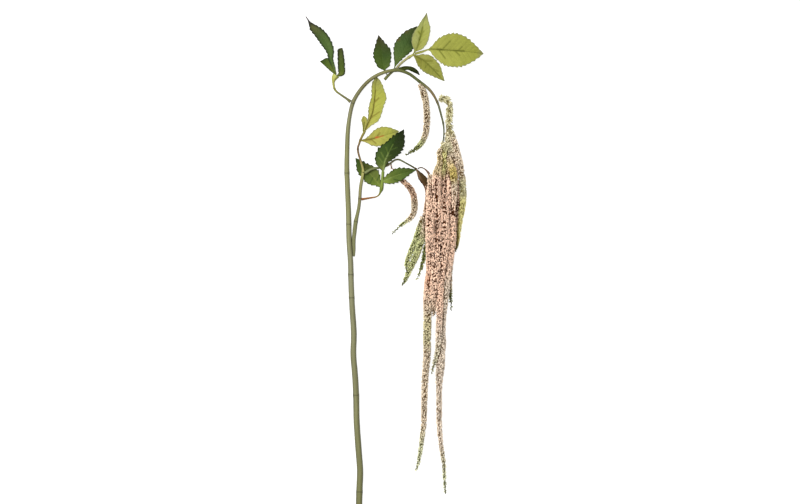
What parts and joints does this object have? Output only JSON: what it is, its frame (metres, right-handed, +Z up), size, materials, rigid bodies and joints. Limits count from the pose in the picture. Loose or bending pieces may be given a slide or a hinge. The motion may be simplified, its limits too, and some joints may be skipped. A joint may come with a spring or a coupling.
{
  "type": "amaranth seed head",
  "caption": "Cut stem of hanging amaranth lying flat: an arched stem with twigs of toothed leaves and a bundle of long beaded seed tassels hanging from its tip.",
  "frame": {"origin": "middle of the outer box in plan, on the surface that the stem lies on", "axes": "+Y along the stem from its cut end to its arch, +X from the main stem to the tassels, +Z up from the surface, which is the side that the picture shows"},
  "size_m": [0.3558, 1.0012, 0.0329],
  "materials": {
    "stem": "matte, finely grooved along its length",
    "twig": "matte",
    "bract": "matte, dry and wrinkled",
    "dark_leaf": "satin with raised veins",
    "pale_leaf": "satin with raised veins",
    "pink_tassel": "matte, made of fine beads",
    "green_tassel": "matte, made of fine beads"
  },
  "bodies": {
    "root": {"main_stem": "stem", "side_stem": "stem", "upper_shoot": "twig", "tassel_shoot": "twig", "fork_stalk": "twig", "left_leaf_twig": "stem", "top_leaf_twig": "stem", "lower_leaf_twig": "twig", "brown_bract": "bract", "left_leaf_long": "dark_leaf", "left_leaf_small": "dark_leaf", "left_leaf_upright": "dark_leaf", "top_leaf_dark_short": "dark_leaf", "top_leaf_dark_long": "dark_leaf", "top_leaf_dark_curled": "dark_leaf", "top_leaf_pale_upper": "pale_leaf", "top_leaf_pale_large": "pale_leaf", "top_leaf_pale_lower": "pale_leaf", "inner_leaf_pale_long": "pale_leaf", "inner_leaf_pale_small": "pale_leaf", "inner_leaf_pale_side": "pale_leaf", "lower_leaf_dark_large": "dark_leaf", "lower_leaf_dark_right": "dark_leaf", "lower_leaf_dark_left": "dark_leaf", "longest_tassel": "pink_tassel", "long_left_tassel": "pink_tassel", "looping_tassel": "pink_tassel", "middle_tassel": "pink_tassel", "right_thin_tassel": "pink_tassel", "outer_tassel": "pink_tassel", "arch_tassel": "pink_tassel", "small_tassel": "pink_tassel", "bright_base_tassel": "green_tassel", "sheath_tassel": "green_tassel", "left_green_tassel": "green_tassel", "short_green_tassel": "green_tassel"}
  },
  "joints": []
}
